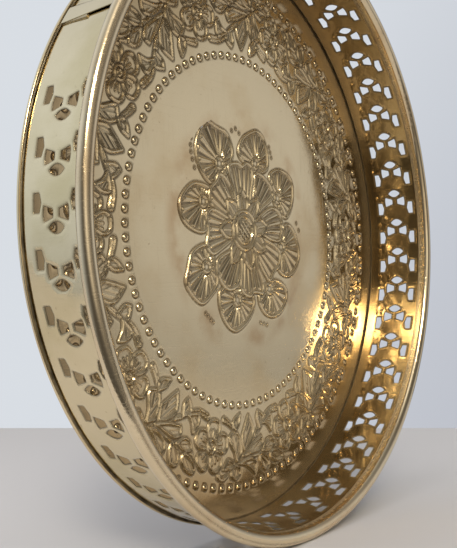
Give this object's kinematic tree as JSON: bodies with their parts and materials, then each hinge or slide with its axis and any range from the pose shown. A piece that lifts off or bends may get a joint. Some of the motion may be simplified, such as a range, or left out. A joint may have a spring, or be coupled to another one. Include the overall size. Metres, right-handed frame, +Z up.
{
  "type": "gallery tray",
  "caption": "Round brass tray with a flat floor, a low pierced upright wall and a wired, rolled rim.",
  "frame": {"origin": "centre of the floor's underside, the face that the tray rests on", "axes": "+Z up through the tray, from the floor to the rim; +X and +Y lie in the floor, and the wall's lap joint is about 145 degrees from +X towards +Y"},
  "size_m": [0.305, 0.305, 0.041],
  "materials": {
    "floor_brass": "aged, worn satin polish with dark tarnish in the relief",
    "wall_brass": "aged polish with hand wear along the rim",
    "wire_brass": "drawn wire, hidden in the roll",
    "braze": "dull, as brazed"
  },
  "bodies": {
    "root": {"floor_plate": "floor_brass", "gallery_wall": "wall_brass", "rim_wire": "wire_brass", "lap_braze": "braze"}
  },
  "joints": []
}
